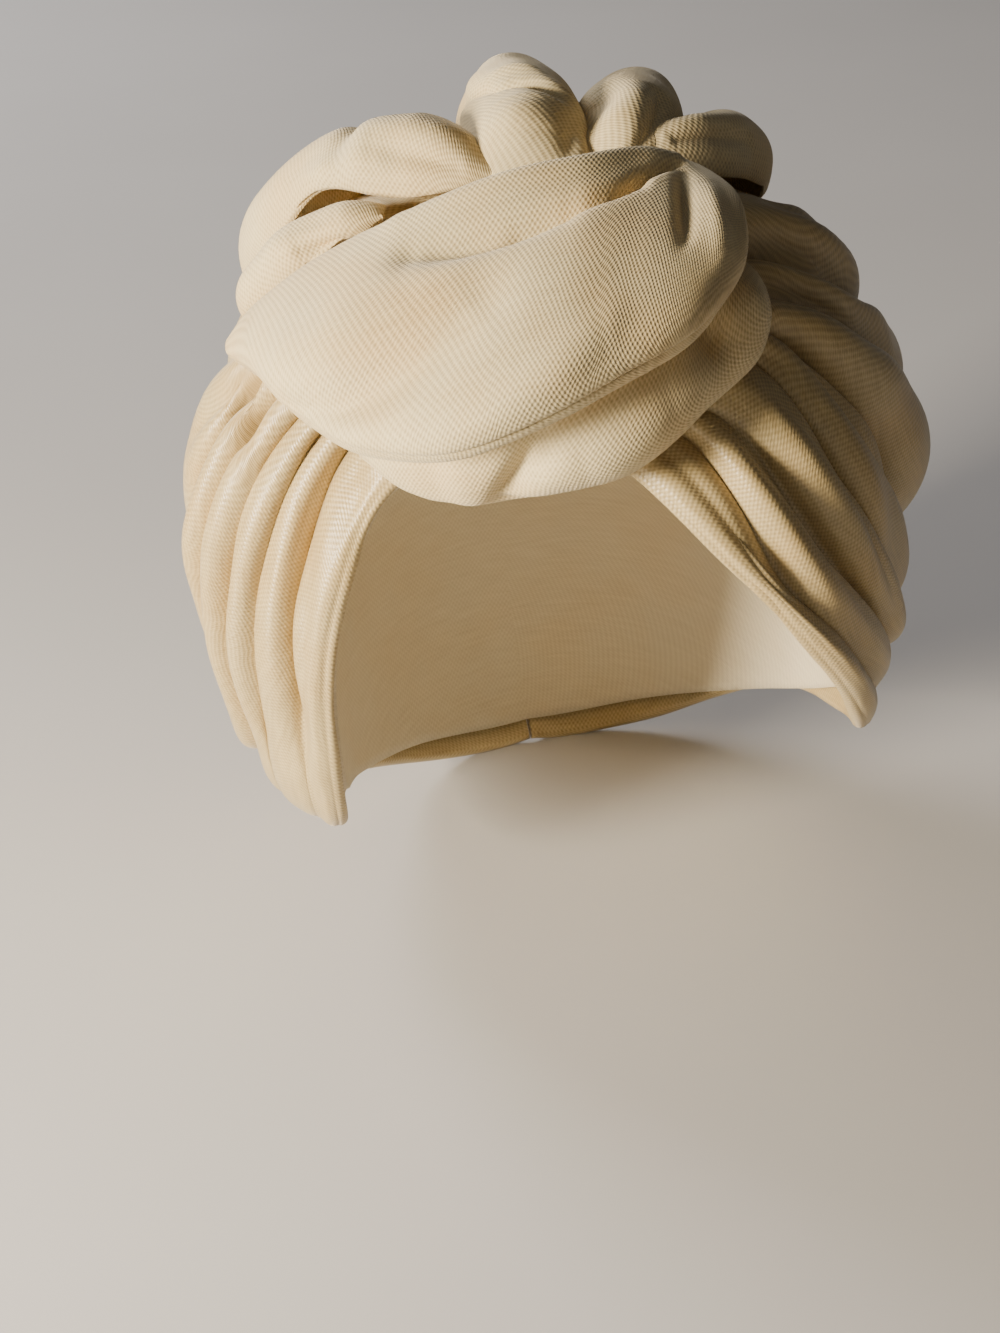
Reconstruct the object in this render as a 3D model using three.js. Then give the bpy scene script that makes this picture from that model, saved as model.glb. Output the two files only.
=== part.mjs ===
// A tied turban headwrap in crepe cloth: pleated side wraps and tall crown folds, all gathered
// under a two-lobed knot over the forehead, on a close cap that sits on the head.
// Millimetres, +Z up. The wearer looks along -Y, so the wearer's right hand is at -X.
// The origin is where the top of the head touches the inside of the cap.
import * as THREE from 'three';

const WALL = 2.2;
const HEAD_HALF_WIDTH = 78;
const HEAD_FRONT = 96;
const HEAD_BACK = 98;
const HEAD_ABOVE_CENTRE = 100;
const HEAD_BELOW_CENTRE = 128;
const HEAD_SQUARENESS = 2.2;
const KNOT_AZIMUTH = -12;
const KNOT_ELEVATION = 62;
const HEM_STANDOFF = 3.8;
const TUCK_REACH = 0.2;
const TUCK_STANDOFF = 0.72;
const NAPE_ELEVATION = -44;
const SEAM_TOP_ELEVATION = 18;
const SEAM_TOP_STANDOFF = 32;
const SEAM_GAP = 0.7;
const SEAM_TOP_SPREAD = 2.5;
const CROWN_EDGE_ANGLE = 1;
const CROWN_STANDOFF = 49;
const CROWN_DIP_AT_KNOT = 12;
const CROWN_DIP_LENGTH = 0.12;
const CROWN_FULL_ELEVATION = 72;
const FOLD_CLEARANCE = 3;
const PLEAT_AT_KNOT = 0.12;
const PLEAT_GROWTH = 0.9;
const PLEAT_FADE_TO_BACK = 0.7;
const PLEAT_FULLNESS = 1.2;
const PLEAT_ROUNDNESS = 0.8;
const BEHIND_EAR_DROP = 0.62;
const BEHIND_EAR_STANDOFF = 0.4;
const CAP_WALL = 2;
const CLOTH_COLOUR = 0xe6dcbc;

const HEAD_CENTRE = new THREE.Vector3(0, 0, -HEAD_ABOVE_CENTRE);

// Each row is a valley between two pleats: where it leaves the knot, passes the brow and passes
// the ear, as azimuth from the face towards +X, elevation, and standoff from the head.
// bulge is how far the pleat above that valley rounds out. The first row is the hem.
const RIGHT_WRAP_ROWS = [
  { knot: [-60, 50, 3.8], brow: [-68, 22, 3.8], ear: [-80, -24, 3.8], bulge: 6 },
  { knot: [-76, 54, 13], brow: [-80, 28, 12], ear: [-84, -21, 9], bulge: 6 },
  { knot: [-80, 54, 20], brow: [-86, 27, 21], ear: [-93, -19, 17], bulge: 6 },
  { knot: [-84, 54, 26], brow: [-90, 28, 27], ear: [-98, -11, 23], bulge: 7 },
  { knot: [-88, 55, 31], brow: [-94, 31, 34], ear: [-104, 2, 26], bulge: 5 },
  { knot: [-92, 57, 35], brow: [-100, 37, 37], ear: [-114, 16, 31], bulge: 8 },
  { knot: [-96, 60, 40], brow: [-108, 46, 41], ear: [-128, 32, 37], bulge: 4 },
  { knot: [-98, 65, 47], brow: [-114, 58, 47], ear: [-137, 47, 44], bulge: 0 },
];
const LEFT_WRAP_ROWS = [
  { knot: [3, 53, 3.8], brow: [20, 29, 3.8], ear: [52, -10, 3.8], bulge: 5 },
  { knot: [17, 53, 12], brow: [27, 27, 9], ear: [60, -8, 7], bulge: 5 },
  { knot: [23, 53, 20], brow: [37, 30, 14], ear: [66, -2, 11], bulge: 6 },
  { knot: [38, 56, 27], brow: [46, 36, 21], ear: [66, 6, 14], bulge: 6 },
  { knot: [43, 58, 31], brow: [62, 40, 26], ear: [80, 14, 20], bulge: 9 },
  { knot: [47, 61, 34], brow: [70, 46, 36], ear: [90, 28, 40], bulge: 7 },
  { knot: [56, 66, 38], brow: [70, 54, 42], ear: [94, 41, 42], bulge: 9 },
  { knot: [66, 72, 46], brow: [86, 62, 48], ear: [112, 50, 44], bulge: 0 },
];

// The two edges of each knot lobe, tip to tip, and how far the cloth rounds out between them.
const UPPER_LOBE_ROWS = [
  { top: [-88, 52, 55], bottom: [-84, 51, 56], bulge: 1 },
  { top: [-86, 57, 53], bottom: [-70, 51, 56], bulge: 7 },
  { top: [-80, 64, 52], bottom: [-58, 49, 52], bulge: 12 },
  { top: [-72, 71, 52], bottom: [-44, 47, 49], bulge: 15 },
  { top: [-44, 79, 52], bottom: [-28, 47, 48], bulge: 17 },
  { top: [20, 81, 53], bottom: [-13, 50, 50], bulge: 17 },
  { top: [56, 78, 54], bottom: [-1, 53, 52], bulge: 15 },
  { top: [62, 74, 55], bottom: [13, 56, 54], bulge: 12 },
  { top: [52, 69, 57], bottom: [28, 60, 56], bulge: 7 },
  { top: [40, 65, 57], bottom: [35, 63, 57], bulge: 1 },
];
const LOWER_LOBE_ROWS = [
  { top: [-54, 55, 32], bottom: [-57, 50, 24], bulge: 2 },
  { top: [-42, 58, 34], bottom: [-46, 49, 13], bulge: 10 },
  { top: [-27, 59, 36], bottom: [-32, 49, 7], bulge: 14 },
  { top: [-14, 61, 38], bottom: [-18, 50, 7], bulge: 15 },
  { top: [2, 63, 40], bottom: [0, 51, 9], bulge: 16 },
  { top: [16, 65, 41], bottom: [17, 53, 21], bulge: 14 },
  { top: [27, 67, 43], bottom: [32, 55, 34], bulge: 11 },
  { top: [34, 68, 45], bottom: [40, 59, 42], bulge: 7 },
  { top: [38, 71, 46], bottom: [42, 66, 45], bulge: 1 },
];

// Crown folds: the line each stands on as azimuth and elevation, its half width and its height,
// from the knot to the back.
const CROWN_FOLDS = [
  {
    name: 'crown_roll_right',
    lift: 1,
    rows: [
      { at: [-108, 81], half: 9, height: 8 },
      { at: [-124, 75], half: 12, height: 16 },
      { at: [-132, 66], half: 14, height: 16 },
      { at: [-134, 55], half: 12, height: 13 },
      { at: [-142, 44], half: 8, height: 8 },
      { at: [-155, 33], half: 5, height: 4 },
    ],
  },
  {
    name: 'crown_loop_right',
    lift: 3.5,
    rows: [
      { at: [-98, 71], half: 4, height: 5 },
      { at: [-103, 66], half: 6, height: 8 },
      { at: [-112, 59], half: 7, height: 9 },
      { at: [-120, 51], half: 6, height: 7 },
      { at: [-126, 44], half: 4, height: 4 },
    ],
  },
  {
    name: 'crown_loop_centre',
    lift: 0,
    rows: [
      { at: [-40, 86], half: 12, height: 8 },
      { at: [168, 84], half: 13, height: 20 },
      { at: [170, 74], half: 16, height: 25 },
      { at: [175, 58], half: 13, height: 16 },
      { at: [178, 40], half: 7, height: 5 },
    ],
  },
  {
    name: 'crown_loop_left',
    lift: 0.5,
    rows: [
      { at: [76, 81], half: 8, height: 7 },
      { at: [118, 76], half: 10, height: 16 },
      { at: [138, 68], half: 11, height: 20 },
      { at: [150, 54], half: 9, height: 12 },
      { at: [162, 39], half: 5, height: 4 },
    ],
  },
  {
    name: 'crown_roll_left',
    lift: 2,
    rows: [
      { at: [76, 74], half: 9, height: 9 },
      { at: [94, 68], half: 13, height: 18 },
      { at: [112, 61], half: 15, height: 20 },
      { at: [128, 50], half: 12, height: 12 },
      { at: [147, 37], half: 7, height: 4 },
    ],
  },
];

// The close cap's hem, going once round the head from the middle of the nape.
const CAP_HEM = [
  [-180, -41], [-150, -39], [-120, -35], [-96, -28], [-86, -18], [-80, 0], [-75, 18], [-71, 34],
  [-64, 50], [-45, 55], [-20, 56], [0, 56], [14, 50], [24, 38], [34, 24], [46, 9], [58, -5],
  [80, -19], [120, -34], [150, -39],
];

function direction(azimuth, elevation) {
  const a = THREE.MathUtils.degToRad(azimuth);
  const e = THREE.MathUtils.degToRad(elevation);
  return new THREE.Vector3(Math.sin(a) * Math.cos(e), -Math.cos(a) * Math.cos(e), Math.sin(e));
}

function headRadius(d) {
  const depth = d.y < 0 ? HEAD_FRONT : HEAD_BACK;
  const tall = d.z > 0 ? HEAD_ABOVE_CENTRE : HEAD_BELOW_CENTRE;
  const power = HEAD_SQUARENESS;
  const sum = Math.abs(d.x / HEAD_HALF_WIDTH) ** power
    + Math.abs(d.y / depth) ** power
    + Math.abs(d.z / tall) ** power;
  return sum ** (-1 / power);
}

function offHead(d, standoff) {
  const unit = d.clone().normalize();
  return unit.multiplyScalar(headRadius(unit) + standoff).add(HEAD_CENTRE);
}

function place([azimuth, elevation, standoff]) {
  return offHead(direction(azimuth, elevation), standoff);
}

function smoothLine(points) {
  return new THREE.CatmullRomCurve3(points, false, 'centripetal');
}

// A line over the head through [azimuth, elevation, standoff] stations.
function headLine(stations) {
  const ways = smoothLine(stations.map(([azimuth, elevation]) => direction(azimuth, elevation)));
  const heights = smoothLine(stations.map((station, index) => new THREE.Vector3(index, station[2], 0)));
  return (u) => {
    const t = ways.getUtoTmapping(u);
    return { way: ways.getPoint(t).normalize(), standoff: heights.getPoint(t).y };
  };
}

// A point of the head's surround, part way between two others.
function between(from, to, part) {
  const angle = from.way.angleTo(to.way);
  const way = from.way.clone().multiplyScalar(Math.sin((1 - part) * angle) / Math.sin(angle));
  way.addScaledVector(to.way, Math.sin(part * angle) / Math.sin(angle));
  return { way, standoff: THREE.MathUtils.lerp(from.standoff, to.standoff, part) };
}

// A cloth wall on a middle surface given by surface(u, v), both from 0 to 1.
function clothWall(surface, uSteps, vSteps) {
  const middle = [];
  for (let i = 0; i <= uSteps; i += 1) {
    middle.push([]);
    for (let j = 0; j <= vSteps; j += 1) {
      middle[i].push(surface(i / uSteps, j / vSteps));
    }
  }
  const positions = [];
  const rows = vSteps + 1;
  const side = (uSteps + 1) * rows;
  for (const sign of [1, -1]) {
    for (let i = 0; i <= uSteps; i += 1) {
      for (let j = 0; j <= vSteps; j += 1) {
        const along = middle[Math.min(i + 1, uSteps)][j].clone().sub(middle[Math.max(i - 1, 0)][j]);
        const across = middle[i][Math.min(j + 1, vSteps)].clone().sub(middle[i][Math.max(j - 1, 0)]);
        const normal = along.cross(across).normalize();
        positions.push(...middle[i][j].clone().addScaledVector(normal, sign * WALL / 2).toArray());
      }
    }
  }
  const indices = [];
  const quad = (a, b, c, d) => indices.push(a, b, c, a, c, d);
  for (let i = 0; i < uSteps; i += 1) {
    for (let j = 0; j < vSteps; j += 1) {
      const a = i * rows + j;
      quad(a, a + rows, a + rows + 1, a + 1);
      quad(side + a, side + a + 1, side + a + rows + 1, side + a + rows);
    }
  }
  for (let i = 0; i < uSteps; i += 1) {
    const low = i * rows;
    const high = low + vSteps;
    quad(low, side + low, side + low + rows, low + rows);
    quad(high, high + rows, side + high + rows, side + high);
  }
  for (let j = 0; j < vSteps; j += 1) {
    const last = uSteps * rows + j;
    quad(j, j + 1, side + j + 1, side + j);
    quad(last, side + last, side + last + 1, last + 1);
  }
  return closedGeometry(positions, indices);
}

function closedGeometry(positions, indices) {
  const geometry = new THREE.BufferGeometry();
  geometry.setAttribute('position', new THREE.Float32BufferAttribute(positions, 3));
  geometry.setIndex(signedVolume(positions, indices) < 0 ? indices.reverse() : indices);
  geometry.computeVertexNormals();
  return geometry;
}

function signedVolume(positions, indices) {
  const corner = (k) => new THREE.Vector3().fromArray(positions, 3 * indices[k]);
  let volume = 0;
  for (let k = 0; k < indices.length; k += 3) {
    volume += corner(k).dot(corner(k + 1).cross(corner(k + 2))) / 6;
  }
  return volume;
}

// The valley of one pleat, from a tuck under the knot, round the side, to the seam at the back.
function valleyLine(row, index, count, side) {
  const rise = index / (count - 1);
  const start = direction(row.knot[0], row.knot[1]);
  const knot = direction(KNOT_AZIMUTH, KNOT_ELEVATION);
  const tuckWay = start.clone().lerp(knot, TUCK_REACH).normalize();
  const tuck = [
    THREE.MathUtils.radToDeg(Math.atan2(tuckWay.x, -tuckWay.y)),
    THREE.MathUtils.radToDeg(Math.asin(tuckWay.z)),
    THREE.MathUtils.lerp(HEM_STANDOFF, row.knot[2], TUCK_STANDOFF),
  ];
  const back = [
    side * (180 - SEAM_GAP - SEAM_TOP_SPREAD * rise ** 8),
    THREE.MathUtils.lerp(NAPE_ELEVATION, SEAM_TOP_ELEVATION, rise),
    THREE.MathUtils.lerp(HEM_STANDOFF, SEAM_TOP_STANDOFF, rise),
  ];
  const behind = [
    side * THREE.MathUtils.lerp(Math.abs(row.ear[0]), 180, 0.5),
    THREE.MathUtils.lerp(row.ear[1], back[1], BEHIND_EAR_DROP),
    THREE.MathUtils.lerp(row.ear[2], back[2], BEHIND_EAR_STANDOFF),
  ];
  return headLine([tuck, row.knot, row.brow, row.ear, behind, back]);
}

function pleatedWrap(rows, side, uSteps, stepsPerPleat) {
  const lines = rows.map((row, index) => valleyLine(row, index, rows.length, side));
  const pleats = rows.length - 1;
  const surface = (u, v) => {
    const pleat = Math.min(Math.floor(v * pleats), pleats - 1);
    const t = v * pleats - pleat;
    const growth = Math.sin(Math.PI * Math.min(0.5, PLEAT_AT_KNOT + PLEAT_GROWTH * u));
    const fade = growth * (1 - PLEAT_FADE_TO_BACK * u);
    const low = lines[pleat](u);
    const high = lines[pleat + 1](u);
    const spot = between(low, high, t);
    const point = offHead(spot.way, spot.standoff);
    const across = offHead(high.way, high.standoff).sub(offHead(low.way, low.standoff)).normalize();
    const out = spot.way.clone();
    out.addScaledVector(across, -out.dot(across)).normalize();
    const arch = Math.sin(Math.PI * t) ** PLEAT_ROUNDNESS;
    return point.addScaledVector(out, rows[pleat].bulge * PLEAT_FULLNESS * fade * arch);
  };
  return clothWall(surface, uSteps, pleats * stepsPerPleat);
}

// How far the crown cloth stands off the head: most at the top, less towards the back seam.
function crownStandoff(way) {
  const elevation = THREE.MathUtils.radToDeg(Math.asin(way.z));
  const span = CROWN_FULL_ELEVATION - SEAM_TOP_ELEVATION;
  const climb = THREE.MathUtils.clamp((elevation - SEAM_TOP_ELEVATION) / span, 0, 1);
  return THREE.MathUtils.lerp(SEAM_TOP_STANDOFF, CROWN_STANDOFF, Math.sin(climb * Math.PI / 2));
}

// The cloth over the crown, between the upper edges of the two side wraps.
function crownWrap(uSteps, vSteps) {
  const last = RIGHT_WRAP_ROWS.length - 1;
  const right = valleyLine(RIGHT_WRAP_ROWS[last], last, last + 1, -1);
  const left = valleyLine(LEFT_WRAP_ROWS[last], last, last + 1, 1);
  const surface = (u, v) => {
    const from = right(u);
    const to = left(u);
    const edge = CROWN_EDGE_ANGLE / THREE.MathUtils.radToDeg(from.way.angleTo(to.way));
    const { way } = between(from, to, THREE.MathUtils.lerp(edge, 1 - edge, v));
    const dip = CROWN_DIP_AT_KNOT * Math.max(0, 1 - u / CROWN_DIP_LENGTH);
    return offHead(way, crownStandoff(way) - dip);
  };
  return clothWall(surface, uSteps, vSteps);
}

// A rounded lobe between two edge lines, whose edges turn under.
function lobe(rows, uSteps, vSteps, turnUnder) {
  const tops = smoothLine(rows.map((row) => place(row.top)));
  const bottoms = smoothLine(rows.map((row) => place(row.bottom)));
  const bulges = smoothLine(rows.map((row, index) => new THREE.Vector3(index, row.bulge, 0)));
  const surface = (u, v) => {
    const top = tops.getPoint(u);
    const bottom = bottoms.getPoint(u);
    const middle = top.clone().add(bottom).multiplyScalar(0.5);
    const half = top.clone().sub(bottom).multiplyScalar(0.5);
    const out = middle.clone().sub(HEAD_CENTRE).normalize();
    const across = half.clone().normalize();
    out.addScaledVector(across, -out.dot(across)).normalize();
    const angle = THREE.MathUtils.lerp(-turnUnder, Math.PI + turnUnder, v);
    return middle.addScaledVector(half, Math.cos(angle))
      .addScaledVector(out, bulges.getPoint(u).y * Math.sin(angle));
  };
  return clothWall(surface, uSteps, vSteps);
}

// A fold standing on the crown: an arch carried along its line from the knot to the back.
function crownFold(rows, lift, uSteps, vSteps) {
  const line = smoothLine(rows.map(({ at }) => {
    const way = direction(at[0], at[1]);
    return offHead(way, crownStandoff(way) + FOLD_CLEARANCE + lift);
  }));
  const sizes = smoothLine(rows.map((row, index) => new THREE.Vector3(row.half, row.height, index)));
  const surface = (u, v) => {
    const centre = line.getPoint(u);
    const out = centre.clone().sub(HEAD_CENTRE).normalize();
    const along = line.getTangent(u);
    const across = along.clone().cross(out).normalize();
    const size = sizes.getPoint(u);
    const angle = Math.PI * v;
    return centre.addScaledVector(across, size.x * Math.cos(angle))
      .addScaledVector(out, size.y * Math.sin(angle));
  };
  return clothWall(surface, uSteps, vSteps);
}

// The close cap: a dome from the crown down to its hem, open over the face and the neck.
function closeCap(ringSteps, columnsPerRow) {
  const hem = new THREE.CatmullRomCurve3(
    CAP_HEM.map(([azimuth, elevation]) => direction(azimuth, elevation)),
    true,
    'centripetal',
  );
  const columns = CAP_HEM.length * columnsPerRow;
  const up = new THREE.Vector3(0, 0, 1);
  const positions = [];
  const indices = [];
  const layer = 1 + ringSteps * columns;
  for (const standoff of [CAP_WALL, 0]) {
    positions.push(...offHead(up, standoff).toArray());
    for (let ring = 1; ring <= ringSteps; ring += 1) {
      for (let column = 0; column < columns; column += 1) {
        const edge = hem.getPoint(column / columns).normalize();
        const angle = up.angleTo(edge);
        const part = ring / ringSteps;
        const way = up.clone().multiplyScalar(Math.sin((1 - part) * angle));
        way.addScaledVector(edge, Math.sin(part * angle));
        positions.push(...offHead(way, standoff).toArray());
      }
    }
  }
  const at = (base, ring, column) => base + 1 + (ring - 1) * columns + (column % columns);
  for (let column = 0; column < columns; column += 1) {
    indices.push(0, at(0, 1, column), at(0, 1, column + 1));
    indices.push(layer, at(layer, 1, column + 1), at(layer, 1, column));
    for (let ring = 1; ring < ringSteps; ring += 1) {
      const a = at(0, ring, column);
      const b = at(0, ring + 1, column);
      const c = at(0, ring + 1, column + 1);
      const d = at(0, ring, column + 1);
      indices.push(a, b, c, a, c, d);
      indices.push(a + layer, c + layer, b + layer, a + layer, d + layer, c + layer);
    }
    const a = at(0, ringSteps, column);
    const b = at(0, ringSteps, column + 1);
    indices.push(a, a + layer, b + layer, a, b + layer, b);
  }
  return closedGeometry(positions, indices);
}

function piece(name, geometry, lightness) {
  const colour = new THREE.Color(CLOTH_COLOUR).multiplyScalar(lightness);
  const material = new THREE.MeshStandardMaterial({ color: colour, roughness: 0.78, metalness: 0 });
  const mesh = new THREE.Mesh(geometry, material);
  mesh.name = name;
  return mesh;
}

const turban = new THREE.Group();
turban.name = 'turban_headwrap';
turban.add(piece('close_cap', closeCap(9, 2), 0.9));
turban.add(piece('right_side_wrap', pleatedWrap(RIGHT_WRAP_ROWS, -1, 15, 3), 1));
turban.add(piece('left_side_wrap', pleatedWrap(LEFT_WRAP_ROWS, 1, 15, 3), 1));
turban.add(piece('crown_wrap', crownWrap(14, 12), 0.97));
for (const { name, lift, rows } of CROWN_FOLDS) {
  turban.add(piece(name, crownFold(rows, lift, 12, 8), 1));
}
turban.add(piece('knot_upper_lobe', lobe(UPPER_LOBE_ROWS, 18, 10, 0.35), 1));
turban.add(piece('knot_lower_lobe', lobe(LOWER_LOBE_ROWS, 16, 8, 0.2), 1));

export default turban;
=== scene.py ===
# %% [markdown]
# # A knotted turban headwrap
# The real headwrap is one long piece of soft cream crepe over a close cap. The cloth is gathered
# round both sides of the head, crossed and twisted above the brow into a knot of two lobes, and
# what is left is tucked over the crown in rolls and loops. Each of those is a sheet here.
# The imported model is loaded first: every place below comes from it and from the head inside it.

# %% Load the frame
import math

import bpy
import numpy as np
from mathutils import Matrix, Vector


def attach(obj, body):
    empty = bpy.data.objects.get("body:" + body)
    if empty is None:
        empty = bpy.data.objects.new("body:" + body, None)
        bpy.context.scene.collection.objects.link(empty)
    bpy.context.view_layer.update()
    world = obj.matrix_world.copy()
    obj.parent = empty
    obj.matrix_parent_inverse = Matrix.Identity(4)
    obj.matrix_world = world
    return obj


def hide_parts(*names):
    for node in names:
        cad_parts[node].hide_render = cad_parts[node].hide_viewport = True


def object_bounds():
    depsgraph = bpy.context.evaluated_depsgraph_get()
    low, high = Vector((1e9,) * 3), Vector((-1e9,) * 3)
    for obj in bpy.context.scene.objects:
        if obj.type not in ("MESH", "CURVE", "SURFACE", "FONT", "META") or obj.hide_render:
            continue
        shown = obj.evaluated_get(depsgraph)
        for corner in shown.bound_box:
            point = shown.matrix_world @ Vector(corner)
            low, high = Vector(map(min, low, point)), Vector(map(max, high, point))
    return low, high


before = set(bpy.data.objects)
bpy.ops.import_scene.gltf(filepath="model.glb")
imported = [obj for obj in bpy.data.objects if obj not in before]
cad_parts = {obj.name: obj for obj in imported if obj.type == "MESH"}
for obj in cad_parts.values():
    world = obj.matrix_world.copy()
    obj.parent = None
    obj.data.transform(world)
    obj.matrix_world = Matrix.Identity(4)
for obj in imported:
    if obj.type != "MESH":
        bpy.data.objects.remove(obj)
cad_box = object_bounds()
print("CAD box in metres:", cad_box)

# %% [markdown]
# ## The camera
# A long lens stands a little above the brow and to the wearer's right, and is tipped a few
# degrees, as a hand holds it. The camera is built from three directions, which is easier to read
# than angles.

# %% The camera
MM = 0.001
HEAD_CENTRE = np.array((0.0, 0.0, -100.0))
VIEW_AZIMUTH = math.radians(-13)
VIEW_ELEVATION = math.radians(28)
VIEW_ROLL = math.radians(5)
VIEW_DISTANCE = 0.750
LONG_LENS = 65.36
FRAMING = (-0.0563, -0.0199)

toward_viewer = Vector((
    math.sin(VIEW_AZIMUTH) * math.cos(VIEW_ELEVATION),
    -math.cos(VIEW_AZIMUTH) * math.cos(VIEW_ELEVATION),
    math.sin(VIEW_ELEVATION),
))
level_right = Vector((math.cos(VIEW_AZIMUTH), math.sin(VIEW_AZIMUTH), 0))
level_up = toward_viewer.cross(level_right)
frame_right = level_right * math.cos(VIEW_ROLL) - level_up * math.sin(VIEW_ROLL)
frame_up = level_right * math.sin(VIEW_ROLL) + level_up * math.cos(VIEW_ROLL)

bpy.ops.object.select_all(action="DESELECT")
bpy.ops.object.camera_add()
camera = bpy.context.object
camera.name = "camera"
standpoint = Vector(HEAD_CENTRE * MM) + toward_viewer * VIEW_DISTANCE
camera.matrix_world = Matrix((
    (*(axis[0] for axis in (frame_right, frame_up, toward_viewer)), standpoint[0]),
    (*(axis[1] for axis in (frame_right, frame_up, toward_viewer)), standpoint[1]),
    (*(axis[2] for axis in (frame_right, frame_up, toward_viewer)), standpoint[2]),
    (0, 0, 0, 1),
))
camera.data.lens = LONG_LENS
camera.data.sensor_width = 36
camera.data.shift_x, camera.data.shift_y = FRAMING
camera.data.clip_start = 0.01
bpy.context.scene.camera = camera
print("camera stands at", tuple(round(x, 3) for x in standpoint))

# %% [markdown]
# ## The floor and the lights
# A pale floor lies just under the nape. A warm soft light stands low on the wearer's right, as a
# window does, so each fold turns from light to shade across the head. A light behind brightens
# the floor and the crown's edge, and a weak fill and the dim surroundings open the shadows.

# %% The floor
FLOOR_DROP = 0.001
bpy.ops.object.select_all(action="DESELECT")
bpy.ops.mesh.primitive_plane_add(size=9, location=(0, 0, 0))
floor = bpy.context.object
floor.name = "floor"
floor_height = cad_box[0][2] - FLOOR_DROP
floor.data.transform(Matrix.Translation((0, 0, floor_height)))
print("floor at", round(floor_height, 4))


# %% The lights
SKY_COLOUR = (0.80, 0.79, 0.82, 1)
SKY_STRENGTH = 0.06


def soft_light(name, azimuth, elevation, distance, size, watts, colour):
    """An area light that looks at the head from the given side and height."""
    a, e = math.radians(azimuth), math.radians(elevation)
    side = Vector((math.sin(a) * math.cos(e), -math.cos(a) * math.cos(e), math.sin(e)))
    bpy.ops.object.select_all(action="DESELECT")
    bpy.ops.object.light_add(type="AREA")
    light = bpy.context.object
    light.name = name
    light.location = Vector(HEAD_CENTRE * MM) + side * distance
    light.rotation_euler = side.to_track_quat("Z", "Y").to_euler()
    light.data.size = size
    light.data.energy = watts
    light.data.color = colour


soft_light("window_light", -68, 17, 0.95, 0.27, 28, (1.0, 0.88, 0.70))
soft_light("front_fill", -40, 60, 2.2, 1.2, 2, (1.0, 0.97, 0.94))
soft_light("wall_light", -152, 30, 2.2, 0.7, 36, (1.0, 0.97, 0.95))
surroundings = bpy.data.worlds.new("surroundings")
surroundings.use_nodes = True
sky = surroundings.node_tree.nodes["Background"]
sky.inputs["Color"].default_value = SKY_COLOUR
sky.inputs["Strength"].default_value = SKY_STRENGTH
bpy.context.scene.world = surroundings

# %% [markdown]
# ## The head that the cloth goes round
# The cloth is described by where it lies round the head: an azimuth, 0 at the brow and positive
# to the wearer's left, an elevation above the middle of the head, and how far it stands off the
# head. Sizes in the tables are in millimetres and degrees, and a sheet is scaled to metres when
# it is made.

# %% The head
HEAD_HALF_WIDTH = 78
HEAD_FRONT = 96
HEAD_BACK = 98
HEAD_ABOVE_CENTRE = 100
HEAD_BELOW_CENTRE = 128
HEAD_SQUARENESS = 2.2


def direction(azimuth, elevation):
    a, e = np.radians(azimuth), np.radians(elevation)
    return np.stack((np.sin(a) * np.cos(e), -np.cos(a) * np.cos(e), np.sin(e)), axis=-1)


def unit(vectors):
    return vectors / np.linalg.norm(vectors, axis=-1, keepdims=True)


def dot(a, b):
    return np.sum(a * b, axis=-1, keepdims=True)


def head_radius(ways):
    x, y, z = np.moveaxis(ways, -1, 0)
    depth = np.where(y < 0, HEAD_FRONT, HEAD_BACK)
    tall = np.where(z > 0, HEAD_ABOVE_CENTRE, HEAD_BELOW_CENTRE)
    total = (abs(x / HEAD_HALF_WIDTH) ** HEAD_SQUARENESS + abs(y / depth) ** HEAD_SQUARENESS
             + abs(z / tall) ** HEAD_SQUARENESS)
    return total ** (-1 / HEAD_SQUARENESS)


def off_head(ways, standoff):
    ways = unit(ways)
    return HEAD_CENTRE + ways * (head_radius(ways) + standoff)[..., None]


print("brow to nape over the crown, mm:", HEAD_FRONT + HEAD_BACK)

# %% [markdown]
# ## Smooth lines
# A fold is drawn with a few stations, and the cloth between them follows a smooth line through
# all of them, as a bent strip of wood would. The same kind of line carries widths and heights.


# %% Smooth lines
class SmoothLine:
    """A smooth curve through points, read at numbers from 0 to 1."""

    def __init__(self, points):
        points = np.array(points, float)
        self.points = np.vstack((2 * points[0] - points[1], points, 2 * points[-1] - points[-2]))
        self.gaps = np.linalg.norm(np.diff(self.points, axis=0), axis=1) ** 0.5

    def __call__(self, t):
        spans = len(self.points) - 3
        at = np.clip(np.asarray(t, float), 0, 1) * spans
        k = np.minimum(at.astype(int), spans - 1)
        s = (at - k)[..., None]
        p0, p1, p2, p3 = (self.points[k + i] for i in range(4))
        d0, d1, d2 = (self.gaps[k + i][..., None] for i in range(3))
        leave = ((p1 - p0) / d0 - (p2 - p0) / (d0 + d1) + (p2 - p1) / d1) * d1
        arrive = ((p2 - p1) / d1 - (p3 - p1) / (d1 + d2) + (p3 - p2) / d2) * d1
        return (p1 * (2 * s**3 - 3 * s**2 + 1) + leave * (s**3 - 2 * s**2 + s)
                + p2 * (3 * s**2 - 2 * s**3) + arrive * (s**3 - s**2))

    def even(self, u):
        """The number that gives the point a part u of the whole length along."""
        t = np.linspace(0, 1, 401)
        steps = np.linalg.norm(np.diff(self(t), axis=0), axis=1)
        run = np.concatenate(((0,), np.cumsum(steps)))
        return np.interp(u, run / run[-1], t)


def numbered(values):
    """Values that change along a line, as points of a smooth line, with their number first."""
    return SmoothLine([(k, *np.atleast_1d(value)) for k, value in enumerate(values)])


def head_line(stations, u):
    """Directions and standoffs at u along a line through stations.

    A station is (azimuth, elevation, standoff)."""
    ways = SmoothLine([direction(azimuth, elevation) for azimuth, elevation, _ in stations])
    heights = numbered([standoff for _, _, standoff in stations])
    t = ways.even(u)
    return unit(ways(t)), heights(t)[..., 1]


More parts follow.
